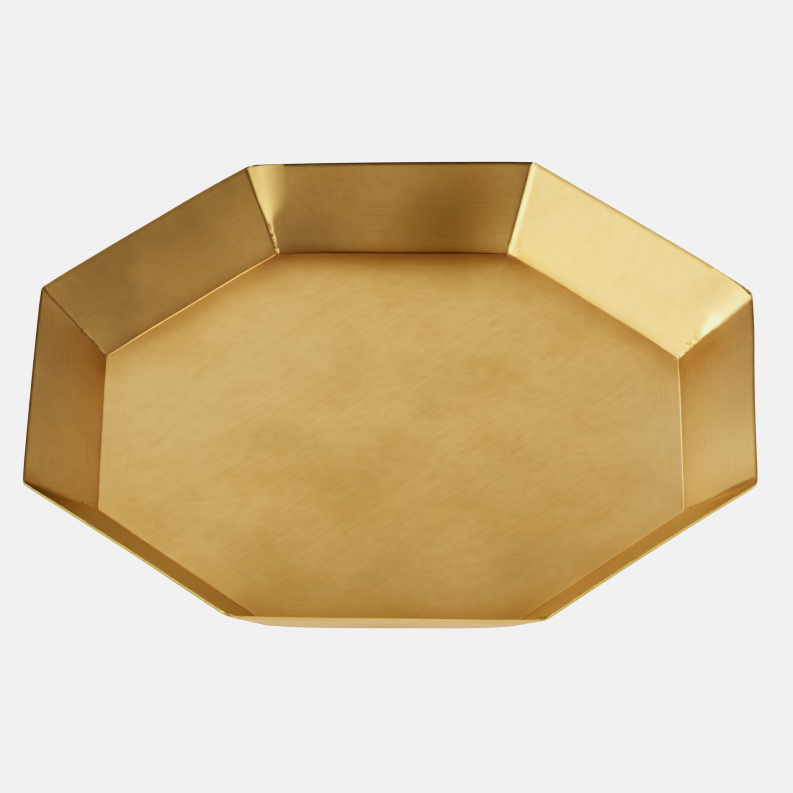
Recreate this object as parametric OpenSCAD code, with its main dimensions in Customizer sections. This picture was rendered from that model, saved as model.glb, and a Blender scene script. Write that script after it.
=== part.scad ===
// Octagonal tray folded up from one sheet of brass, with its eight corners brazed.
// +Z is up and the tray stands on Z = 0, with the middle of its underside at the origin.
// The flats face +X, -X, +Y (rear) and -Y (front), and the four ways between them.

/* [Tray] */
// Width across the flats at the rim, outside
rim_w = 305; // [220:1:420]
// Overall height, from the underside to the rim
tray_h = 28.3; // [18:0.1:40]
// Angle that each side is folded up through, from flat
fold_angle = 43; // [35:1:60]
// Thickness of the brass sheet
sheet_t = 1.2; // [0.8:0.1:2]
// Inside radius of the fold between the floor and a side
fold_r = 3; // [1:0.5:6]

/* [Corner seams] */
// Width of the slit between two sides, which the filler metal closes
slit_w = 1; // [0.5:0.1:2]
// Width of the fillet of filler metal on the inside of a corner
fillet_w = 3.6; // [2.4:0.1:6]

/* [Colours] */
// Colour of the brushed sheet
sheet_colour = "#c99b4e";
// Colour of the filler metal in the seams
filler_colour = "#e0bd76";

/* [Hidden] */
sides = 8;
side_step = 360 / sides;
mitre = side_step / 2;

// Width that a side takes up, from the fold line to the rim's outer edge
wall_run = (tray_h - sheet_t) / tan(fold_angle) + sheet_t * sin(fold_angle);
// Distance from the tray's axis to the fold line, where the floor and a side would meet unrounded
fold_line = rim_w / 2 - wall_run;
// Distance from the axis to where the flat floor ends and the bend begins
bend_start = fold_line - fold_r * tan(fold_angle / 2);
// Height of the bend's centre
bend_z = sheet_t + fold_r;
// Height and distance from the axis, on the inside, where the bend ends and the side goes straight
bend_top = bend_z - fold_r * cos(fold_angle);
bend_end = bend_start + fold_r * sin(fold_angle);
// Inner edge of the rim, which is cut square to the sheet
rim_inside = rim_w / 2 - sheet_t * sin(fold_angle);
// Length of a side from the end of its bend to the rim
side_len = (tray_h - bend_top) / sin(fold_angle);
// Steps that the filler metal follows a bend in
bend_steps = 6;

// Distance from the axis, towards a corner, of a chord of width w laid across that corner, where
// the faces on its two sides are d away from the axis
function across_corner(d, w) = (d - w / 2 * sin(mitre)) / cos(mitre);

// Where the slits begin: just inside the crossing of two neighbouring bends
slit_start = across_corner(bend_start, slit_w);

// Section of the floor and one side, from the tray's axis to the rim
module side_section() {
    square([bend_start, sheet_t]);
    translate([bend_start, bend_z]) {
        intersection() {
            difference() {
                circle(r = fold_r + sheet_t, $fn = 96);
                circle(r = fold_r, $fn = 96);
            }
            polygon([[0, 0], [0, -2 * bend_z], 3 * bend_z * [sin(fold_angle), -cos(fold_angle)]]);
        }
        rotate(fold_angle)
            translate([0, -fold_r - sheet_t])
                square([side_len, sheet_t]);
    }
}

// The whole folded tray, mitred at its corners, with no slits in them
module folded_tray() {
    half = rim_w / 2 * tan(mitre);
    for (i = [0 : sides - 1])
        rotate([0, 0, side_step * i])
            intersection() {
                rotate([90, 0, 0])
                    linear_extrude(height = 2 * half, center = true)
                        side_section();
                linear_extrude(height = tray_h + 1)
                    polygon([[0, 0], [rim_w / 2, -half], [rim_w / 2, half]]);
            }
}

module tray_sheet() {
    color(sheet_colour)
        difference() {
            folded_tray();
            for (i = [0 : sides - 1])
                rotate([0, 0, mitre + side_step * i])
                    translate([slit_start, -slit_w / 2, -1])
                        cube([rim_w / 2, slit_w, tray_h + 2]);
        }
}

// One face of the filler metal in a slit, seen along the corner: round the bend at radius r from
// its centre, then up to the rim at the point [d, z]
function slit_face(r, d, z) = concat(
    [for (i = [0 : bend_steps])
        let (a = fold_angle * i / bend_steps)
            [across_corner(bend_start + r * sin(a), slit_w), bend_z - r * cos(a)]],
    [[across_corner(d, slit_w), z]]
);

function reversed(list) = [for (i = [len(list) - 1 : -1 : 0]) list[i]];

// Filler metal that closes the slit of one corner, as thick as the sheet
module slit_filling() {
    outside = slit_face(fold_r + sheet_t, rim_w / 2, tray_h - sheet_t * cos(fold_angle));
    inside = slit_face(fold_r, rim_inside, tray_h);
    rotate([90, 0, 0])
        linear_extrude(height = slit_w, center = true)
            polygon(concat(outside, reversed(inside)));
}

// Filler metal that rounds off the inside of one corner, from the top of the bend to the rim: it
// lies between the two sides and has a flat face of width fillet_w
module inside_fillet() {
    intersection() {
        rotate([90, 0, 0])
            linear_extrude(height = fillet_w, center = true)
                polygon([
                    [across_corner(bend_end, fillet_w), bend_top],
                    [across_corner(rim_inside, fillet_w), tray_h],
                    [rim_w, tray_h],
                    [rim_w, bend_top]
                ]);
        intersection_for (a = [-mitre, mitre])
            rotate([0, 0, a])
                rotate([90, 0, 0])
                    linear_extrude(height = rim_w, center = true)
                        polygon([
                            [0, sheet_t],
                            [fold_line, sheet_t],
                            [rim_inside, tray_h],
                            [0, tray_h]
                        ]);
    }
}

// Filler metal of the corner that stands at angle a
module corner_seam(a) {
    color(filler_colour)
        rotate([0, 0, a]) {
            slit_filling();
            inside_fillet();
        }
}

module seam_right_rear() { corner_seam(mitre); }
module seam_rear_right() { corner_seam(mitre + side_step); }
module seam_rear_left() { corner_seam(mitre + 2 * side_step); }
module seam_left_rear() { corner_seam(mitre + 3 * side_step); }
module seam_left_front() { corner_seam(mitre + 4 * side_step); }
module seam_front_left() { corner_seam(mitre + 5 * side_step); }
module seam_front_right() { corner_seam(mitre + 6 * side_step); }
module seam_right_front() { corner_seam(mitre + 7 * side_step); }

tray_sheet();
seam_right_rear();
seam_rear_right();
seam_rear_left();
seam_left_rear();
seam_left_front();
seam_front_left();
seam_front_right();
seam_right_front();
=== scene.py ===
import math

import bmesh
import bpy
import numpy as np
from mathutils import Matrix, Vector


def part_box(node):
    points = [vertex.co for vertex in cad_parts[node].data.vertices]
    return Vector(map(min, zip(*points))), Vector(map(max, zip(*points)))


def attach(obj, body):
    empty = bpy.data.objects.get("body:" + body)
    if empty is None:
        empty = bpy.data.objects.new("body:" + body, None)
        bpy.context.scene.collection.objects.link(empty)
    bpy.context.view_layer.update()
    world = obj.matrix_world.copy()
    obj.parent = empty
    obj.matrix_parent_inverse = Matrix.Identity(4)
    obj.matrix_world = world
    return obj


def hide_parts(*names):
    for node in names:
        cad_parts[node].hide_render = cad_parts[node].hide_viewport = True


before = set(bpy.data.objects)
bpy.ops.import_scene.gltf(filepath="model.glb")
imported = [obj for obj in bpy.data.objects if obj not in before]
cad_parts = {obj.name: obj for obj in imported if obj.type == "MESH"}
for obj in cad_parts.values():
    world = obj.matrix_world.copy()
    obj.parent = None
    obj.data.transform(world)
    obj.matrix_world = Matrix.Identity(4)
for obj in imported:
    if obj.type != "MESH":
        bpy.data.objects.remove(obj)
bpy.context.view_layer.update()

# Sizes of the tray, in millimetres unless a name says otherwise. Angles are in radians.
MM = 0.001
SIDES = 8
MITRE = math.pi / SIDES
SHEET = 1.2
FOLD_ANGLE = math.radians(43)
# Inside radius of a fold, and the length and slope of the floor's gentle rise towards it
FOLD_R_MIDDLE = 1.4
FOLD_R_CORNER = 0.8
LEAD_IN = 10.0
LEAD_SLOPE = 0.035
# The rim's cut: rounding of its two arrises, how far it leans from square towards upright, and
# the depth, as a share of the sheet, that it leans about
ARRIS = 0.15
ARRIS_UNDER = 0.35
CUT_TILT = math.radians(33)
CUT_PIVOT = 0.45
# The slit in a corner, its plan radius at the floor, how far its filler stands over the rim, how
# far the filler runs out over the floor, and the depth of its hidden wings as a share of the sheet
SLIT = 0.9
FLOOR_CORNER_R = 1.2
PROUD = 0.03
TOE = 2.0
WING_DEPTH = 0.12

lowest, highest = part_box("tray_sheet")
RIM_HALF = (highest.x - lowest.x) / 2 / MM
HEIGHT = highest.z / MM
FOLD_LINE = RIM_HALF - SHEET * math.sin(FOLD_ANGLE) - (HEIGHT - SHEET) / math.tan(FOLD_ANGLE)
SHEET_IN_PLAN = SHEET / math.sin(FOLD_ANGLE)

# The corners, counted anticlockwise from the one to the right of the rear: the name of the seam
# there, how far hand work has left the rim corner from a regular octagon, outwards and along the
# rim, the radius in plan that the sheet is rounded to at the rim, how far the filler is dressed
# out over the side before the corner and the side after it, at the rim, halfway down and above
# the bead, and the share of the seam, from the floor, that is left as brazed.
CORNERS = [
    ("seam_right_rear", 1.7, -1.2, 5.0, (5.5, 26.0), (5.0, 19.0), (1.4, 3.5), 0.32),
    ("seam_rear_right", 0.8, 1.8, 4.5, (2.2, 2.0), (3.4, 2.0), (5.5, 1.8), 0.14),
    ("seam_rear_left", -1.2, 0.3, 7.0, (16.0, 4.0), (14.0, 2.6), (1.8, 1.2), 0.34),
    ("seam_left_rear", -1.0, -1.6, 3.0, (1.6, 2.2), (1.5, 2.2), (1.5, 2.0), 0.42),
    ("seam_left_front", 1.5, 2.0, 2.5, (2.0, 2.0), (2.0, 2.0), (1.5, 1.5), 0.30),
    ("seam_front_left", -1.5, -2.9, 8.0, (6.0, 6.0), (5.0, 5.0), (1.8, 1.8), 0.30),
    ("seam_front_right", -0.7, 0.4, 8.0, (6.0, 6.0), (5.0, 5.0), (1.8, 1.8), 0.30),
    ("seam_right_front", 1.0, -1.6, 7.0, (5.0, 6.0), (4.0, 5.0), (1.6, 1.8), 0.34),
]
# How far each corner draws the sides in at the rim, and over what length of the sides
CORNER_DRAW = [(1.6, 36.0), (0.3, 16.0), (0.5, 26.0), (0.3, 16.0),
               (0.3, 12.0), (0.3, 14.0), (0.3, 14.0), (0.4, 16.0)]
# How far the middle of each side's rim, and of its fold, stands outwards, from the right-hand side
# anticlockwise
SIDE_BOW = [-0.9, 0.0, 0.6, 0.6, 0.3, -0.6, 0.2, -1.1]
FOLD_BOW = [0.0, 0.0, 0.0, 0.0, 0.0, 0.0, 1.6, 0.0]
# Olive painted shade of each side, which darkens the sides to the tones they take under the
# softboxes, and spots of painted light and shade: x, y, z, the radius, and how much darker or
# brighter it is there
SIDE_OLIVE_SHADE = [0.0, 0.0, 0.05, 0.10, 0.15, 0.80, 0.0, 0.60]
LIGHT_AND_SHADE_SPOTS = [
    (25, 130, 8, 22, -0.45), (40, 145, 22, 14, -0.2), (10, 142, 16, 45, -0.2),
    (-12, -38, 1, 26, -0.22), (-50, 60, 1, 40, 0.15), (-90, 20, 1, 30, 0.10),
    (60, -60, 1, 32, -0.12), (-40, -95, 1, 28, -0.15), (20, 60, 1, 25, 0.05),
    (142, -30, 14, 32, 0.7), (142, 12, 14, 32, 0.7), (138, 42, 10, 13, -0.5),
    (-140, 20, 12, 22, 0.1), (-140, 0, 12, 40, 0.3),
    (-55, -120, 1, 24, -0.35), (0, -122, 1, 28, -0.4), (55, -120, 1, 24, -0.35),
]
# How much painted shade lies beside each side's fold
FOLD_SHADE = [0.10, 0.45, 0.90, 0.50, 0.05, 0.15, 0.80, 0.40]
# How dark the painted shade on the cut edge of each side is
RIM_SHADE = [0.30, 0.45, 0.40, 0.40, 0.05, 0.0, 0.0, 0.0]


def linear(code):
    """Turns an sRGB colour such as "#c99b4e" into linear red, green, blue and alpha."""
    parts = np.array([int(code[i:i + 2], 16) for i in (1, 3, 5)]) / 255
    low, high = parts / 12.92, ((parts + 0.055) / 1.055) ** 2.4
    return (*np.where(parts <= 0.04045, low, high), 1.0)


def smooth_step(x):
    """0 below x = 0, 1 above x = 1, and 3x^2 - 2x^3 between."""
    x = np.clip(x, 0, 1)
    return x * x * (3 - 2 * x)


def lead_rise(s, fold_r):
    """Height gained beside a soft fold: the floor's slope grows evenly over the lead-in, up to
    the most it has at the softest fold, and is lost again over the bend."""
    softness = (fold_r - FOLD_R_CORNER) / (FOLD_R_MIDDLE - FOLD_R_CORNER)
    bend = fold_r * FOLD_ANGLE
    before = np.clip(s + LEAD_IN, 0, LEAD_IN)
    over = np.clip(s, 0, bend)
    return LEAD_SLOPE * softness * (before ** 2 / (2 * LEAD_IN) + over * (1 - over / (2 * bend)))


def side_length(fold_r):
    """Length of a side from the end of its bend to the rim."""
    rise = fold_r * (1 - math.cos(FOLD_ANGLE)) + lead_rise(HEIGHT, fold_r)
    return (HEIGHT - SHEET - rise) / math.sin(FOLD_ANGLE)


def bend_start(fold_r):
    """Distance from the tray's axis to where the bend begins, for sides in the same plane
    whatever the softness of their fold."""
    return (FOLD_LINE - fold_r * math.tan(FOLD_ANGLE / 2)
            + lead_rise(HEIGHT, fold_r) / math.tan(FOLD_ANGLE))


def in_section(s, depth, fold_r):
    """A point of the sheet's section: s along its inner face from where the bend begins, and depth
    under that face as a share of the sheet. The face is level, then an arc of radius fold_r that
    turns through the fold angle, then straight, and the point lies on its normal, raised by the
    lead-in."""
    turn = np.clip(s / fold_r, 0, FOLD_ANGLE)
    straight = np.maximum(s - fold_r * FOLD_ANGLE, 0)
    across = (bend_start(fold_r) + np.minimum(s, 0) + fold_r * np.sin(turn)
              + straight * math.cos(FOLD_ANGLE) + depth * SHEET * np.sin(turn))
    up = (SHEET + fold_r * (1 - np.cos(turn)) + straight * math.sin(FOLD_ANGLE)
          + lead_rise(s, fold_r) - depth * SHEET * np.cos(turn))
    return across, up


def corner_radius(rim_r, share_up, depth):
    """Plan radius of a rounded corner: it opens evenly from the floor to the rim, and the outer
    face's is larger by the sheet's thickness in plan."""
    return FLOOR_CORNER_R + (rim_r - FLOOR_CORNER_R) * share_up + SHEET_IN_PLAN * depth


CORNER_SHIFT = []
for i, (_, outwards, along, *_) in enumerate(CORNERS):
    angle = MITRE * (2 * i + 1)
    outwards += CORNER_DRAW[i][0]
    CORNER_SHIFT.append((outwards * math.cos(angle) - along * math.sin(angle),
                         outwards * math.sin(angle) + along * math.cos(angle)))
CORNER_SHIFT = np.array(CORNER_SHIFT)


def worked_by_hand(points):
    """Moves points (x, y, z) off the regular octagon: each rim corner by its own amount, the rim
    between two corners in proportion, with a parabola for the side's bow and another near each
    corner for the draw, and everything below the rim in proportion to its height over the
    floor. The fold's own bow fades out up the side and over 40 mm of the floor. The floor and
    the sides also get long, shallow waves of about 0.1 mm."""
    x, y, z = points[..., 0], points[..., 1], points[..., 2]
    side = np.round(np.arctan2(y, x) / (2 * MITRE)).astype(int) % SIDES
    angle = side * 2 * MITRE
    out = x * np.cos(angle) + y * np.sin(angle)
    along = -x * np.sin(angle) + y * np.cos(angle)
    half_length = np.maximum(out * math.tan(MITRE), 1e-6)
    place = np.clip(along / half_length, -1, 1)
    share = np.clip((z - SHEET) / (HEIGHT - SHEET), 0, 1)
    before, after = CORNER_SHIFT[side - 1], CORNER_SHIFT[side]
    shift = before * (1 - place[..., None]) / 2 + after * (1 + place[..., None]) / 2
    beside_fold = (1 - share) * smooth_step((out - FOLD_LINE) / 40 + 1)
    bow = (np.array(SIDE_BOW)[side] * (1 - place ** 2) * share
           + np.array(FOLD_BOW)[side] * (1 - place ** 4) * beside_fold)
    moved = points.copy()
    moved[..., 0] += share * shift[..., 0] + bow * np.cos(angle)
    moved[..., 1] += share * shift[..., 1] + bow * np.sin(angle)
    draw = np.array(CORNER_DRAW)
    for corner, gap in ((side, half_length * (1 - place)), (side - 1, half_length * (1 + place))):
        pull = draw[corner, 0] * np.clip(1 - gap / draw[corner, 1], 0, 1) ** 2 * share
        towards = MITRE * (2 * (corner % SIDES) + 1)
        moved[..., 0] -= pull * np.cos(towards)
        moved[..., 1] -= pull * np.sin(towards)
    wave = (0.07 * np.sin(x / 9.7 + 1.3) * np.sin(y / 12.1 + 0.4)
            + 0.09 * np.sin((x + y) / 17.0 + 2.0) * np.cos((x - y) / 21.0))
    moved[..., 2] += wave * np.clip(z / SHEET, 0, 1)
    return moved


def painted_spots(points):
    """Spots of painted light and shade: the sum of bell curves around the places of the spots."""
    marks = np.array(LIGHT_AND_SHADE_SPOTS)
    gap = points[:, None, :] - marks[None, :, :3]
    return (np.exp(-(gap ** 2).sum(-1) / marks[:, 3] ** 2) * marks[:, 4]).sum(1)


def make_piece(name, points, faces, uv, values=None):
    """A mesh object in metres from points in millimetres, faces as index rows, a UV place for
    each point, and named values at the points. Faces are turned outwards by the signed volume,
    doubles are merged, and edges sharper than 50 degrees stay sharp."""
    mesh = bpy.data.meshes.new(name)
    mesh.from_pydata((points * MM).tolist(), [], faces)
    layer = mesh.uv_layers.new(name="along_brush")
    corner_points = np.zeros(len(mesh.loops), np.int32)
    mesh.loops.foreach_get("vertex_index", corner_points)
    layer.data.foreach_set("uv", (uv[corner_points] * MM).astype(np.float32).ravel())
    for label, column in (values or {}).items():
        attribute = mesh.attributes.new(label, "FLOAT", "POINT")
        attribute.data.foreach_set("value", column.astype(np.float32).ravel())
    work = bmesh.new()
    work.from_mesh(mesh)
    bmesh.ops.remove_doubles(work, verts=work.verts, dist=1e-7)
    if work.calc_volume(signed=True) < 0:
        bmesh.ops.reverse_faces(work, faces=work.faces)
    work.to_mesh(mesh)
    work.free()
    mesh.shade_smooth()
    mesh.set_sharp_from_angle(angle=math.radians(50))
    piece = bpy.data.objects.new(name, mesh)
    bpy.context.scene.collection.objects.link(piece)
    return piece


def grid_faces(rows, columns, start=0):
    """Four-cornered faces between the points of a grid numbered row by row."""
    i, j = np.meshgrid(np.arange(rows - 1), np.arange(columns - 1), indexing="ij")
    a = start + i * columns + j
    return np.stack([a, a + 1, a + columns + 1, a + columns], -1).reshape(-1, 4)


# ---------------------------------------------------------------- the folded sheet

FLOOR_ROWS, BEND_ROWS, SIDE_ROWS, ARRIS_ROWS = 46, 8, 22, 4
STRAIGHT_COLUMNS, ARC_COLUMNS = 16, 7


def cut_lean(depth):
    """How much longer the side is at a depth in the sheet, because the rim's cut leans from square
    towards upright by the cut's tilt, about the pivot's depth."""
    return math.tan(CUT_TILT) * (CUT_PIVOT - depth) * SHEET


def sheet_rows():
    """The sheet's section as a closed walk from the middle of the floor's top, over the rim and
    back under the floor. Each row is a share of the floor, of the bend and of the side walked,
    the millimetres short of the rim, and the depth in the sheet."""
    floor = 1 - (1 - np.linspace(0, 1, FLOOR_ROWS)) ** 1.6
    bend = np.linspace(0, 1, BEND_ROWS + 1)[1:]
    side = np.linspace(0, 1, SIDE_ROWS + 1)[1:]
    quarter = np.linspace(0, math.pi / 2, ARRIS_ROWS + 1)[1:]
    one = np.ones_like
    top = [(floor, 0 * floor, 0 * floor, 0 * floor, 0 * floor),
           (one(bend), bend, 0 * bend, 0 * bend, 0 * bend),
           (one(side), one(side), side, side * -ARRIS, 0 * side),
           (one(quarter), one(quarter), one(quarter), ARRIS * (np.sin(quarter) - 1),
            ARRIS * (1 - np.cos(quarter)) / SHEET)]
    top = np.concatenate([np.stack(part, 1) for part in top])
    under = top[::-1].copy()
    under[:, 3] *= ARRIS_UNDER / ARRIS
    rim = under[:, 2] == 1
    under[rim, 4] *= ARRIS_UNDER / ARRIS
    under[:, 4] = 1 - under[:, 4]
    rows = np.concatenate([top, under])
    rows[:, 3] += rows[:, 2] * cut_lean(rows[:, 4])
    return rows


def fold_radius(place):
    """Inside radius of the fold along a side: soft in its middle and pinched at its two ends."""
    return FOLD_R_CORNER + (FOLD_R_MIDDLE - FOLD_R_CORNER) * smooth_step((1 - abs(place)) * 2.2)


def half_side(rows, rim_r, mirror):
    """Points of one half of a side, columns by rows, with the side facing +X: straight columns
    from its middle, then an arc to the plane through the corner. Each column is drawn in a little
    so that half the slit stays open beyond the floor."""
    floor, bend, side, short, depth = rows.T[:, None, :]
    straight = np.linspace(0, 1, STRAIGHT_COLUMNS + 1)[:, None]
    turn = np.linspace(0, MITRE, ARC_COLUMNS + 1)[1:, None]
    place = np.concatenate([straight[:, 0], np.ones(ARC_COLUMNS)])[:, None]
    fold_r = fold_radius(place)
    start = bend_start(fold_r)
    s = -start * (1 - floor) + fold_r * FOLD_ANGLE * bend + side_length(fold_r) * side + short
    across, up = in_section(s, depth, fold_r)
    radius = corner_radius(rim_r, side, depth) * floor
    reach = (across - radius) * math.tan(MITRE)
    out = np.concatenate([across[:STRAIGHT_COLUMNS + 1],
                          (across - radius)[STRAIGHT_COLUMNS + 1:] + radius * np.cos(turn)])
    along = np.concatenate([reach[:STRAIGHT_COLUMNS + 1] * straight,
                            reach[STRAIGHT_COLUMNS + 1:] + radius * np.sin(turn)])
    slit = SLIT / 2 * smooth_step((bend + side * 4) * 1.5)
    along = along * (1 - slit / math.cos(MITRE) / np.maximum(along[-1:], 1e-6))
    points = np.stack([out, mirror * along, up], -1)
    return points, np.broadcast_to(s, out.shape), np.broadcast_to(place, out.shape)


def near_cut(s):
    """1 on the cut edge and 0 from 0.6 mm below it, for lengths along the section."""
    return smooth_step((s - s.max() + 0.6) / 0.4)


def make_sheet():
    """The tray's folded sheet: eight sides, each a grid carried round the section, joined over
    the floor and closed at both edges of each slit."""
    rows = sheet_rows()
    n = len(rows)
    all_points, all_faces, all_uv, values = [], [], [], {"fold_shade": [], "olive_shade": [],
                                                     "outside": [], "rim_shade": []}
    offset = 0
    for k in range(SIDES):
        right, s_right, place_right = half_side(rows, CORNERS[k - 1][3], -1)
        left, s_left, place_left = half_side(rows, CORNERS[k][3], 1)
        points = np.concatenate([right[:0:-1], left])
        s = np.concatenate([s_right[:0:-1], s_left])
        columns = len(points)
        angle = 2 * MITRE * k
        turned = points.copy()
        turned[..., 0] = points[..., 0] * math.cos(angle) - points[..., 1] * math.sin(angle)
        turned[..., 1] = points[..., 0] * math.sin(angle) + points[..., 1] * math.cos(angle)
        all_points.append(worked_by_hand(turned).reshape(-1, 3))
        all_uv.append(np.stack([points[..., 1] + 400 * k, s], -1).reshape(-1, 2))
        # painted shade in each fold's crease, fading over the floor and up the side
        beside = np.exp(-(np.maximum(-s - 1, 0) / 7) ** 2) * np.exp(-(np.maximum(s, 0) / 3.5) ** 2)
        fold_shade_levels = [FOLD_SHADE[k] + (FOLD_SHADE[other % SIDES] - FOLD_SHADE[k]) / 2
                   * smooth_step(place * 2 - 1)
                   for other, place in ((k - 1, place_right[:0:-1]), (k + 1, place_left))]
        values["fold_shade"].append((np.concatenate(fold_shade_levels) * beside).ravel())
        # olive painted shade of each side, fading out towards the floor
        values["olive_shade"].append((SIDE_OLIVE_SHADE[k] * smooth_step(s / 4)).ravel())
        # painted shade on the cut edge
        values["rim_shade"].append((RIM_SHADE[k] * near_cut(s)).ravel())
        # the outer face: partly a duller finish, partly painted shade for the shaded floor it
        # mirrors
        values["outside"].append(np.broadcast_to(smooth_step(rows[:, 4] * 3 - 2), s.shape).ravel())
        all_faces.append(grid_faces(columns, n, offset))
        # the two cut faces of the slits: a strip between the inner and the outer face
        first = int(np.argmax(rows[:, 1] > 0))
        for column, flip in ((0, False), (columns - 1, True)):
            inner = offset + column * n + np.arange(first - 1, n // 2)
            outer = offset + column * n + n - 1 - np.arange(first - 1, n // 2)
            strip = np.stack([inner[:-1], inner[1:], outer[1:], outer[:-1]], -1)
            all_faces.append(strip if flip else strip[:, ::-1])
        offset += columns * n
    points = np.concatenate(all_points)
    values = {label: np.concatenate(parts) for label, parts in values.items()}
    # spots of painted light and shade
    values["painted_light_and_shade"] = painted_spots(points)
    return make_piece("folded_sheet", points, np.concatenate(all_faces).tolist(),
                      np.concatenate(all_uv), values)


# ---------------------------------------------------------------- the brazed seams


def on_corner(across, radius, off):
    """Distance from the axis, towards a corner, of the rounded octagon with faces `across` from
    the axis, at `off` to the side of the plane through the corner: on the arc near that plane,
    and on the flat face beyond it."""
    arc = (across - radius) / math.cos(MITRE) + np.sqrt(np.maximum(radius ** 2 - off ** 2, 0))
    flat = (across - abs(off) * math.sin(MITRE)) / math.cos(MITRE)
    return np.where(abs(off) <= radius * math.sin(MITRE), arc, flat)


def ripple(rng, places, spacing, octaves=3):
    """Smooth seeded unevenness from -1 to 1 along a line: straight-line steps between random
    values a spacing apart, with each octave half as wide and half as strong, eased."""
    total = np.zeros_like(places)
    for octave in range(octaves):
        step = spacing / 2 ** octave
        low = places.min()
        count = int((places.max() - low) / step) + 3
        values = rng.uniform(-1, 1, count)
        at = (places - low) / step
        i = at.astype(int)
        f = smooth_step(at - i)
        total += (values[i] * (1 - f) + values[i + 1] * f) / 2 ** octave
    return total / 1.75


def eased(values, reach=15):
    """The values with their kinks rounded: a moving average with a raised-cosine weight."""
    weight = np.hanning(2 * reach + 3)[1:-1]
    return np.convolve(np.pad(values, reach, "edge"), weight / weight.sum(), "valid")


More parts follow.
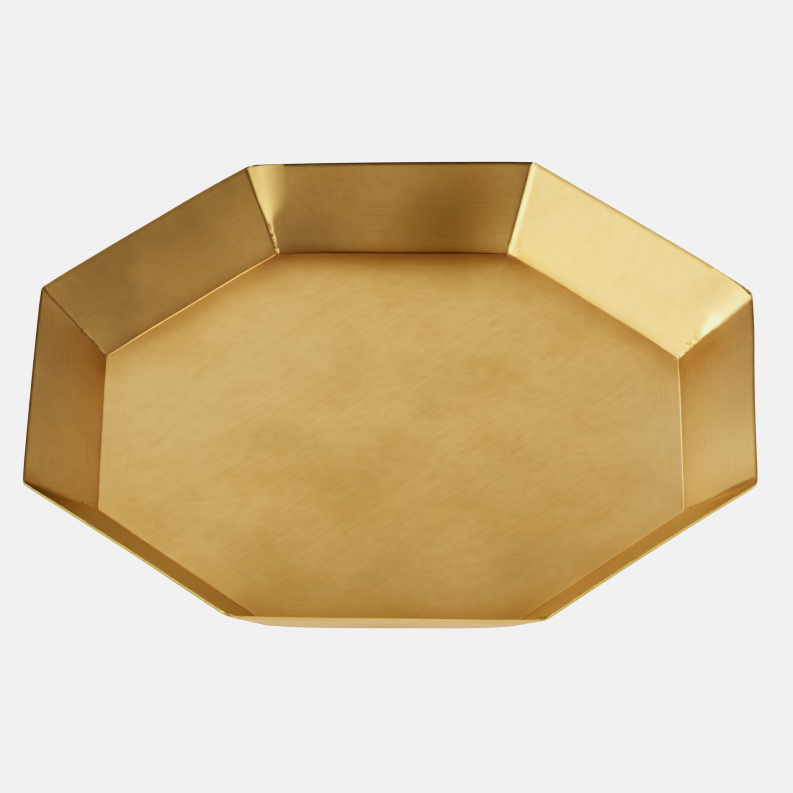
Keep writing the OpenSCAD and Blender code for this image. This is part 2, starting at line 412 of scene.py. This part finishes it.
def make_seam(index):
    """Filler metal of one corner: a closed strip that follows the corner's section from its toe
    on the floor to the rim. Its upper face is the parabola that touches both sides at the widths
    it was dressed out to: the corner's point plus (1-u)^2 of one width and u^2 of the other, each
    along its side. It narrows towards the floor and turns into an uneven bead. Its lower
    face lies in the sheet, with a stem through the slit and a flush cap outside. Both faces have
    as many points, and the ends are strips between them."""
    name, _, _, sheet_r, rim, middle, low, bead_top = CORNERS[index]
    rng = np.random.default_rng(100 + index)
    bend = FOLD_R_CORNER * FOLD_ANGLE
    length = side_length(FOLD_R_CORNER)
    quarter = np.linspace(0, math.pi / 2, 5)[1:]
    rim_s = bend + length + PROUD
    s = np.concatenate([np.linspace(-TOE, rim_s - ARRIS, 200),
                        rim_s - ARRIS * (1 - np.sin(quarter))])
    share = np.clip((s - bend) / length, 0, 1)
    as_brazed = 1 - smooth_step((share - bead_top + 0.08) / 0.14)
    toe = smooth_step((s + TOE) / 1.8)
    end = np.clip((s - (rim_s - ARRIS)) / ARRIS, 0, 1)
    rounding = (ARRIS * (1 - np.sqrt(1 - end ** 2)) / SHEET)[:, None]
    sheet_inner, sheet_outer = corner_radius(sheet_r, share, 0.0), corner_radius(sheet_r, share, 1.0)
    uneven = as_brazed * toe
    before, after = [eased(np.interp(share, [0.0, bead_top, 0.62, 1.0],
                                     [low[i] * 0.75, low[i], middle[i], rim[i]])) for i in (0, 1)]
    widths = [(w * (1 + 0.25 * ripple(rng, s, 2.4) * uneven)
               + 0.12 * ripple(rng, s, 0.9) * uneven) * (0.3 + 0.7 * toe) for w in (before, after)]
    columns = 17
    u = np.linspace(0, 1, columns)
    from_before, from_after = widths[0][:, None] * (1 - u) ** 2, widths[1][:, None] * u ** 2
    cap_off = (from_after - from_before) * math.cos(MITRE)
    cap_fall = (from_after + from_before) * math.sin(MITRE)
    cap_off = cap_off + (0.22 * ripple(rng, s, 3.2) * uneven)[:, None] * 4 * u * (1 - u)
    crest = 4 * u * (1 - u)
    lump = ((0.07 + 0.05 * ripple(rng, s, 1.4)) * uneven)[:, None]
    lump = lump * (1 + 0.4 * ripple(rng, s, 0.9)[:, None] * np.cos(5.2 * (u - 0.5)))
    inner_a, inner_z = in_section(s + share * cut_lean(0.0), 0.0, FOLD_R_CORNER)
    outer_a, outer_z = in_section(s + share * cut_lean(1.0), 1.0, FOLD_R_CORNER)

    def sunk(reach, off, depth):
        """A face's distance from the axis, moved towards the sheet's outer face by the depth."""
        through = on_corner(outer_a[:, None], sheet_outer[:, None], off) \
            - on_corner(inner_a[:, None], sheet_inner[:, None], off)
        return reach + through * depth

    cap_depth = (0.008 * (1 - crest) ** 12 - lump * crest) / SHEET + rounding
    corner_line = inner_a[:, None] / math.cos(MITRE) - cap_fall
    # the lower face: from one edge to the stem, the outer cap, and out to the other edge
    one = np.ones((len(s), 1))
    stem = SLIT / 2 + 0.03
    wing = np.linspace(1, 0, 5)[None, :]
    wing_before, wing_after = [stem + (np.maximum(w[:, None] * math.cos(MITRE), stem) - stem) * wing
                               for w in widths]
    back = np.linspace(-1, 1, 5)[None, :] * (0.7 * toe[:, None] + 0.08)
    low_off = np.concatenate([-wing_before, -stem * one, back, stem * one, wing_after[:, ::-1]], 1)
    wing_depth = np.full((len(s), wing.shape[1]), WING_DEPTH)
    under_end = np.clip((s - (rim_s - ARRIS_UNDER)) / ARRIS_UNDER, 0, 1)[:, None]
    under_rounding = ARRIS_UNDER * (1 - np.sqrt(1 - under_end ** 2)) / SHEET
    back_depth = 1.0 + 0.02 * (1 - np.linspace(-1, 1, 5)[None, :] ** 2) - under_rounding
    stem_depth = 0.8 - under_rounding
    low_depth = np.concatenate([wing_depth + rounding * 0.8, stem_depth, back_depth, stem_depth,
                                wing_depth + rounding * 0.8], 1)
    low_off, low_depth = low_off[:, ::-1], low_depth[:, ::-1]
    low_reach = on_corner(inner_a[:, None], sheet_inner[:, None], low_off)
    off = np.concatenate([cap_off, low_off], 1)
    depth = np.concatenate([cap_depth, low_depth], 1)
    reach = np.concatenate([sunk(corner_line, cap_off, cap_depth),
                            sunk(low_reach, low_off, low_depth)], 1)
    up = inner_z[:, None] * (1 - depth) + outer_z[:, None] * depth
    angle = MITRE * (2 * index + 1)
    points = np.stack([reach * math.cos(angle) - off * math.sin(angle),
                       reach * math.sin(angle) + off * math.cos(angle), up], -1)
    points = worked_by_hand(points)
    rows, across = off.shape
    first = np.arange(rows - 1) * across
    closing = np.stack([first + across - 1, first, first + across, first + 2 * across - 1], -1)
    j = np.arange(columns - 1)
    toe_end = np.stack([j + 1, j, across - 1 - j, across - 2 - j], -1)
    rim_end = (toe_end + (rows - 1) * across)[:, ::-1]
    faces = np.concatenate([grid_faces(rows, across), closing, toe_end, rim_end])
    uv = np.stack([off, np.broadcast_to(s[:, None], off.shape)], -1)
    points = points.reshape(-1, 3)
    # the olive painted shade, the painted shade on the cut edge and the spots of painted light and
    # shade, carried over from the sides
    to_after = smooth_step(off / 2 + 0.5)
    olive = SIDE_OLIVE_SHADE[index] * (1 - to_after) + SIDE_OLIVE_SHADE[(index + 1) % SIDES] * to_after
    rim_shade_mix = RIM_SHADE[index] * (1 - to_after) + RIM_SHADE[(index + 1) % SIDES] * to_after
    values = {"as_brazed": np.broadcast_to(as_brazed[:, None], off.shape).ravel(),
              "olive_shade": (olive * smooth_step(s / 4)[:, None]).ravel(),
              "rim_shade": (rim_shade_mix * near_cut(s)[:, None]).ravel(),
              "painted_light_and_shade": painted_spots(points)}
    return make_piece(name.replace("seam", "braze"), points, faces.tolist(),
                      uv.reshape(-1, 2), values)


# ---------------------------------------------------------------- finishes


SOFT = {"interpolation_type": "SMOOTHSTEP"}
LAYER = {"data_type": "RGBA"}


def node(tree, kind, out=0, links=None, **settings):
    """Adds a shader node and gives one of its outputs. The settings are the node's own
    properties, and links gives its inputs, by name or number, a value or another's output."""
    made = tree.nodes.new(kind)
    for key, value in settings.items():
        setattr(made, key, value)
    for key, value in (links or {}).items():
        socket = made.inputs[key]
        if isinstance(value, bpy.types.NodeSocket):
            tree.links.new(value, socket)
        else:
            socket.default_value = value
    return made.outputs[out]


def as_metal(surface):
    """Makes a surface bare metal, a little less bright where it is seen at a glancing angle."""
    surface["Metallic"].default_value = 1.0
    surface["Specular Tint"].default_value = (0.9, 0.9, 0.9, 1.0)


def uneven_tone(tree, place, size_mm, detail=2.0, stretch=(1, 1, 1), turn=0.0, shift=0.0):
    """Cloudy unevenness from 0 to 1 whose lumps measure size_mm, drawn out by stretch along x, y
    and z after the pattern is turned about z."""
    placed = node(tree, "ShaderNodeMapping", 0, {
        "Vector": place, "Rotation": (0.0, 0.0, turn), "Location": (shift, shift * 0.7, 0.0),
        "Scale": tuple(size_mm * MM * v for v in stretch)}, vector_type="TEXTURE")
    return node(tree, "ShaderNodeTexNoise", "Fac", {
        "Vector": placed, "Scale": 1.0, "Detail": detail, "Roughness": 0.55})


def tarnish_and_painted_light(tree, place):
    """Colour of unlacquered brass: a clean yellow with clouds of warm and of olive tarnishing and a
    fine mottle, then painted shade and light: the olive painted shade of each side, the spots of
    painted light and shade, and the painted shade on the cut edge. Also gives the warm clouds."""
    warm = uneven_tone(tree, place, 30.0, 3.0, shift=0.2)
    olive = uneven_tone(tree, place, 45.0, 2.0, shift=0.8)
    mottle = uneven_tone(tree, place, 5.0, 3.0, shift=0.4)
    colour = linear("#edcb98")
    for cloud, low, high, most, tone in ((warm, 0.42, 0.70, 0.25, "#deb27a"),
                                         (olive, 0.48, 0.70, 0.25, "#d3b680"),
                                         (mottle, 0.35, 0.75, 0.14, "#cf9f60")):
        share = node(tree, "ShaderNodeMapRange", 0, {0: cloud, 1: low, 2: high, 4: most}, **SOFT)
        colour = node(tree, "ShaderNodeMix", 2, {0: share, 6: colour, 7: linear(tone)}, **LAYER)
    # painted shade and light: olive shade of each side, darker and brighter spots, and the dark cut
    # edge
    for label, full, tone in (("olive_shade", 1.0, "#bdb07c"), ("painted_light_and_shade", -1.0, "#b08d4a"),
                              ("painted_light_and_shade", 1.0, "#f7ddb0"), ("rim_shade", 1.0, "#6e5a34")):
        mark = node(tree, "ShaderNodeAttribute", "Fac", attribute_name=label)
        share = node(tree, "ShaderNodeMapRange", 0, {0: mark, 1: 0.0, 2: full})
        colour = node(tree, "ShaderNodeMix", 2, {0: share, 6: colour, 7: linear(tone)}, **LAYER)
    return colour, warm


def brushed_brass():
    """Yellow sheet brass, rubbed by hand with fine abrasive wool and left unlacquered. It gives the
    eye a soft satin glow, hair-fine scratches that run slantwise over the floor and along the sides,
    a thin, uneven tarnishing, and a warm painted shade beside the folds. Real scratches are 0.02 to
    0.1 mm wide, too fine to show, so they are drawn 0.5 to 1 mm wide."""
    finish = bpy.data.materials.new("brushed_yellow_brass")
    finish.use_nodes = True
    tree = finish.node_tree
    surface = tree.nodes["Principled BSDF"].inputs
    place = node(tree, "ShaderNodeTexCoord", "Object")
    brush = node(tree, "ShaderNodeUVMap", 0, uv_map="along_brush")
    walked = node(tree, "ShaderNodeSeparateXYZ", "Y", {0: brush})
    margin = node(tree, "ShaderNodeMapRange", 0, {0: walked, 1: -0.022, 2: -0.008}, **SOFT)

    # scratches: slanting over the floor, along the sides and their margins, wandering a little
    wander = node(tree, "ShaderNodeTexNoise", "Color", {"Vector": place, "Scale": 14.0,
                                                        "Detail": 1.0})
    bent = node(tree, "ShaderNodeVectorMath", 0, {0: wander, 1: (0.012, 0.012, 0.0), 2: place},
                operation="MULTIPLY_ADD")
    bent_uv = node(tree, "ShaderNodeVectorMath", 0, {0: wander, 1: (0.006, 0.006, 0.0), 2: brush},
                   operation="MULTIPLY_ADD")
    slant = uneven_tone(tree, bent, 0.8, 3.0, (22, 1, 1), math.radians(46))
    slant_wide = uneven_tone(tree, bent, 2.6, 2.0, (12, 1, 1), math.radians(38), 0.3)
    level = uneven_tone(tree, bent, 0.9, 3.0, (26, 1, 1), math.radians(4), 0.1)
    sideways = uneven_tone(tree, bent_uv, 0.8, 3.0, (30, 1, 1))
    across = uneven_tone(tree, bent_uv, 0.9, 3.0, (16, 1, 1), math.radians(58), 0.2)
    patch = uneven_tone(tree, place, 38.0, 1.0, shift=0.5)
    on_floor = node(tree, "ShaderNodeMapRange", 0, {0: patch, 1: 0.50, 2: 0.66, 4: 0.7}, **SOFT)
    on_sides = node(tree, "ShaderNodeMapRange", 0, {0: patch, 1: 0.42, 2: 0.60, 4: 0.8}, **SOFT)
    floor_lines = node(tree, "ShaderNodeMix", 0, {0: on_floor, 2: slant, 3: level})
    side_lines = node(tree, "ShaderNodeMix", 0, {0: on_sides, 2: sideways, 3: across})
    lines = node(tree, "ShaderNodeMix", 0, {0: margin, 2: floor_lines, 3: side_lines})

    # painted shade beside the folds, and the outer face: partly a duller finish, partly painted
    # shade for the shaded floor it mirrors
    colour, warm = tarnish_and_painted_light(tree, place)
    for label, most, tone in (("fold_shade", 0.6, "#c08a48"), ("outside", 0.45, "#c9a05e")):
        mark = node(tree, "ShaderNodeAttribute", "Fac", attribute_name=label)
        share = node(tree, "ShaderNodeMapRange", 0, {0: mark, 4: most})
        colour = node(tree, "ShaderNodeMix", 2, {0: share, 6: colour, 7: linear(tone)}, **LAYER)
    shade = node(tree, "ShaderNodeMapRange", 0, {0: lines, 1: 0.30, 2: 0.70, 3: 0.95, 4: 1.03})
    colour = node(tree, "ShaderNodeMix", 2, {0: 1.0, 6: colour, 7: shade}, blend_type="MULTIPLY",
                  **LAYER)
    tree.links.new(colour, surface["Base Color"])

    rough = node(tree, "ShaderNodeMapRange", 0, {0: lines, 1: 0.3, 2: 0.7, 3: 0.34, 4: 0.315})
    for source, low, high, from_rough, to_rough in ((warm, 0.4, 0.7, -0.01, 0.02),
                                                    (share, 0.0, 0.45, 0.0, 0.1)):
        more = node(tree, "ShaderNodeMapRange", 0, {0: source, 1: low, 2: high, 3: from_rough,
                                                    4: to_rough})
        rough = node(tree, "ShaderNodeMath", 0, {0: rough, 1: more}, operation="ADD")
    tree.links.new(rough, surface["Roughness"])
    relief = node(tree, "ShaderNodeMath", 0, {0: slant_wide, 1: 0.8, 2: lines},
                  operation="MULTIPLY_ADD")
    bump = node(tree, "ShaderNodeBump", 0, {"Height": relief, "Strength": 0.5,
                                            "Distance": 0.00002})
    tree.links.new(bump, surface["Normal"])
    as_metal(surface)
    return finish


def braze_filler():
    """Brass brazing rod, dressed with a file and wool near the rim and left as it ran near the
    floor. It gives the eye a slightly yellower, smoother stripe above, and small bright beads
    with dark flux-stained pits below."""
    finish = bpy.data.materials.new("dressed_brazing_brass")
    finish.use_nodes = True
    tree = finish.node_tree
    surface = tree.nodes["Principled BSDF"].inputs
    place = node(tree, "ShaderNodeTexCoord", "Object")
    brazed = node(tree, "ShaderNodeAttribute", "Fac", attribute_name="as_brazed")
    pits = uneven_tone(tree, place, 1.3, 3.0)
    grain = uneven_tone(tree, place, 0.9, 2.0, shift=0.6)
    colour, _ = tarnish_and_painted_light(tree, place)
    pitted = node(tree, "ShaderNodeMapRange", 0, {0: pits, 1: 0.48, 2: 0.70}, **SOFT)
    stain = node(tree, "ShaderNodeMath", 0, {0: pitted, 1: brazed}, operation="MULTIPLY")
    share = node(tree, "ShaderNodeMapRange", 0, {0: stain, 4: 0.65})
    colour = node(tree, "ShaderNodeMix", 2, {0: share, 6: colour, 7: linear("#8a6228")}, **LAYER)
    tree.links.new(colour, surface["Base Color"])
    rough = node(tree, "ShaderNodeMapRange", 0, {0: stain, 3: 0.32, 4: 0.5})
    tree.links.new(rough, surface["Roughness"])
    relief = node(tree, "ShaderNodeMath", 0, {0: pits, 1: grain}, operation="ADD")
    relief = node(tree, "ShaderNodeMath", 0, {0: relief, 1: brazed}, operation="MULTIPLY")
    bump = node(tree, "ShaderNodeBump", 0, {"Height": relief, "Strength": 0.5,
                                            "Distance": 0.00005})
    tree.links.new(bump, surface["Normal"])
    as_metal(surface)
    return finish


# ---------------------------------------------------------------- the studio

# Side and distance of every softbox in metres, and the camera's direction in degrees
SOFTBOX_SIDE = 0.5
SOFTBOX_AWAY = 1.6
CAMERA_AZIMUTH, CAMERA_ELEVATION = 0.385, 39.35
# Name, azimuth, elevation and power of each softbox. The powers are rounded from a least-squares fit
# of the tones of the faces, not chosen by hand. Only the three at the front, which light the inside
# for a camera behind the tray, are set one by one.
SOFTBOXES = [
    ("right_low", 75, 20, 5.2), ("right_low_back", 105, 20, 1.5),
    ("right_lowest", 135, 5, 0.65), ("rear_low_right", 165, 20, 0.85),
    ("rear_low_left", 195, 20, 1.0), ("left_lowest", 225, 5, 0.9),
    ("left_low_back", 255, 20, 4.4), ("left_low", 285, 20, 9.0), ("rear_mid", 180, 36, 0.55),
    ("rear_left_mid", 210, 36, 1.2), ("left_back_mid", 240, 36, 0.9),
    ("left_mid", 275, 35, 0.3), ("front_right_high", 25, 54, 1.8),
    ("right_high", 115, 54, 0.9), ("rear_right_high", 145, 54, 2.1),
    ("rear_left_high", 205, 54, 0.7), ("left_high", 265, 54, 0.65),
    ("front_left_high", 295, 54, 2.4), ("front_low", 0, 12, 0.7),
    ("front_right_low", 45, 14, 0.7), ("front_left_low", 315, 14, 0.7),
]


def make_floor(name, radius, shaded, glow, far_glow, seen):
    """A pale surface that the tray stands on: a disc that turns up into a low wall far away, with
    a glow that may fall off from a hand's width around the tray, and shade where the tray covers
    it, out to `shaded`. It is either seen by the camera or mirrored in the brass."""
    profile = np.array([(0.0, 0.0), (0.06, 0.0), (0.1, 0.0), (0.13, 0.0), (1.0, 0.0),
                        (radius - 2.0, 0.0), (radius - 0.5, 0.2), (radius, 1.2)])
    turn = np.linspace(0, 2 * math.pi, 97)[:, None]
    points = np.stack([profile[:, 0] * np.cos(turn), profile[:, 0] * np.sin(turn),
                       profile[:, 1] - 0.0002 + 0 * turn], -1)
    mesh = bpy.data.meshes.new(name)
    mesh.from_pydata(points.reshape(-1, 3).tolist(), [],
                     grid_faces(len(turn), len(profile)).tolist())
    mesh.shade_smooth()
    floor = bpy.data.objects.new(name, mesh)
    bpy.context.scene.collection.objects.link(floor)
    finish = bpy.data.materials.new(name)
    finish.use_nodes = True
    tree = finish.node_tree
    surface = tree.nodes["Principled BSDF"].inputs
    surface["Base Color"].default_value = (0.0, 0.0, 0.0, 1.0)
    surface["Specular IOR Level"].default_value = 0.0
    surface["Roughness"].default_value = 1.0
    surface["Emission Color"].default_value = linear("#ffffff")
    place = node(tree, "ShaderNodeTexCoord", "Object")
    reach = node(tree, "ShaderNodeVectorMath", "Value", {0: place}, operation="LENGTH")
    near = node(tree, "ShaderNodeMapRange", 0, {0: reach, 1: 0.2, 2: 0.6, 3: glow, 4: far_glow},
                **SOFT)
    lit = node(tree, "ShaderNodeMapRange", 0, {0: reach, 1: shaded - 0.02, 2: shaded, 3: 0.1},
               **SOFT)
    strength = node(tree, "ShaderNodeMath", 0, {0: near, 1: lit}, operation="MULTIPLY")
    tree.links.new(strength, surface["Emission Strength"])
    finish.cycles.emission_sampling = "NONE"
    mesh.materials.append(finish)
    floor.visible_camera = seen
    floor.visible_glossy = not seen
    floor.visible_diffuse = not seen


def direction(azimuth, elevation):
    """The unit vector from the tray in degrees: azimuth 0 is in front and 90 on the right."""
    a, e = math.radians(azimuth), math.radians(elevation)
    return Vector((math.sin(a) * math.cos(e), -math.cos(a) * math.cos(e), math.sin(e)))


def softbox(name, azimuth, elevation, power):
    """A square soft light aimed at the tray, with its power in watts."""
    light = bpy.data.lights.new(name, "AREA")
    light.shape = "RECTANGLE"
    light.size, light.size_y, light.energy = SOFTBOX_SIDE, SOFTBOX_SIDE, power
    lamp = bpy.data.objects.new(name, light)
    back = direction(azimuth, elevation)
    lamp.location = back * SOFTBOX_AWAY
    lamp.rotation_mode = "QUATERNION"
    lamp.rotation_quaternion = (-back).to_track_quat("-Z", "Y")
    lamp.visible_camera = False
    bpy.context.scene.collection.objects.link(lamp)


def make_camera():
    """A long lens from the front, 39 degrees above the horizon, aimed a little above the floor."""
    data = bpy.data.cameras.new("camera")
    data.lens, data.sensor_width = 335.8, 36.0
    camera = bpy.data.objects.new("camera", data)
    turned, roll = math.radians(CAMERA_AZIMUTH), math.radians(-0.06)
    back = direction(CAMERA_AZIMUTH, CAMERA_ELEVATION)
    right = Vector((math.cos(turned), math.sin(turned), 0.0))
    up = back.cross(right)
    right, up = (right * math.cos(roll) + up * math.sin(roll),
                 up * math.cos(roll) - right * math.sin(roll))
    rim_r = RIM_HALF * MM / math.cos(MITRE)
    place = (back * 19.0 + right * 0.0126 + up * 0.0992) * rim_r
    camera.matrix_world = Matrix((
        (right.x, up.x, back.x, place.x),
        (right.y, up.y, back.y, place.y),
        (right.z, up.z, back.z, place.z),
        (0, 0, 0, 1)))
    data.clip_start, data.clip_end = 0.1, 60
    bpy.context.scene.collection.objects.link(camera)
    bpy.context.scene.camera = camera


def camera_response():
    """A camera's usual contrast: shadows are held down and highlights roll off to paper white.
    The steps are rounded from a least-squares fit of the tones of the faces, not chosen by hand,
    except for the three darkest."""
    settings = bpy.context.scene.view_settings
    settings.view_transform = "Standard"
    settings.use_curve_mapping = True
    mapping = settings.curve_mapping
    mapping.extend = "HORIZONTAL"
    curve = mapping.curves[3]
    steps = [(0.04, 0.006), (0.07, 0.021), (0.12, 0.071), (0.2, 0.2), (0.31, 0.4), (0.445, 0.6),
             (0.595, 0.75), (0.76, 0.85)]
    curve.points[0].location = (0.0, 0.0)
    curve.points[1].location = (0.9, 0.879)
    for x, y in steps:
        curve.points.new(x, y)
    mapping.update()


def make_world():
    world = bpy.data.worlds.new("studio")
    bpy.context.scene.world = world
    world.use_nodes = True
    world.node_tree.nodes["Background"].inputs["Color"].default_value = (0.0, 0.0, 0.0, 1.0)


make_camera()
brass = brushed_brass()
filler = braze_filler()
sheet = make_sheet()
sheet.data.materials.append(brass)
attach(sheet, "root")
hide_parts("tray_sheet")
for i, (name, *_) in enumerate(CORNERS):
    seam = make_seam(i)
    seam.data.materials.append(filler)
    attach(seam, "root")
    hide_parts(name)

make_floor("paper_floor", 9.0, 0.12, 1.0, 1.0, True)
make_floor("paper_floor_mirrored", 40.0, 0.13, 0.7, 0.5, False)
make_world()
for lamp in SOFTBOXES:
    softbox(*lamp)
camera_response()
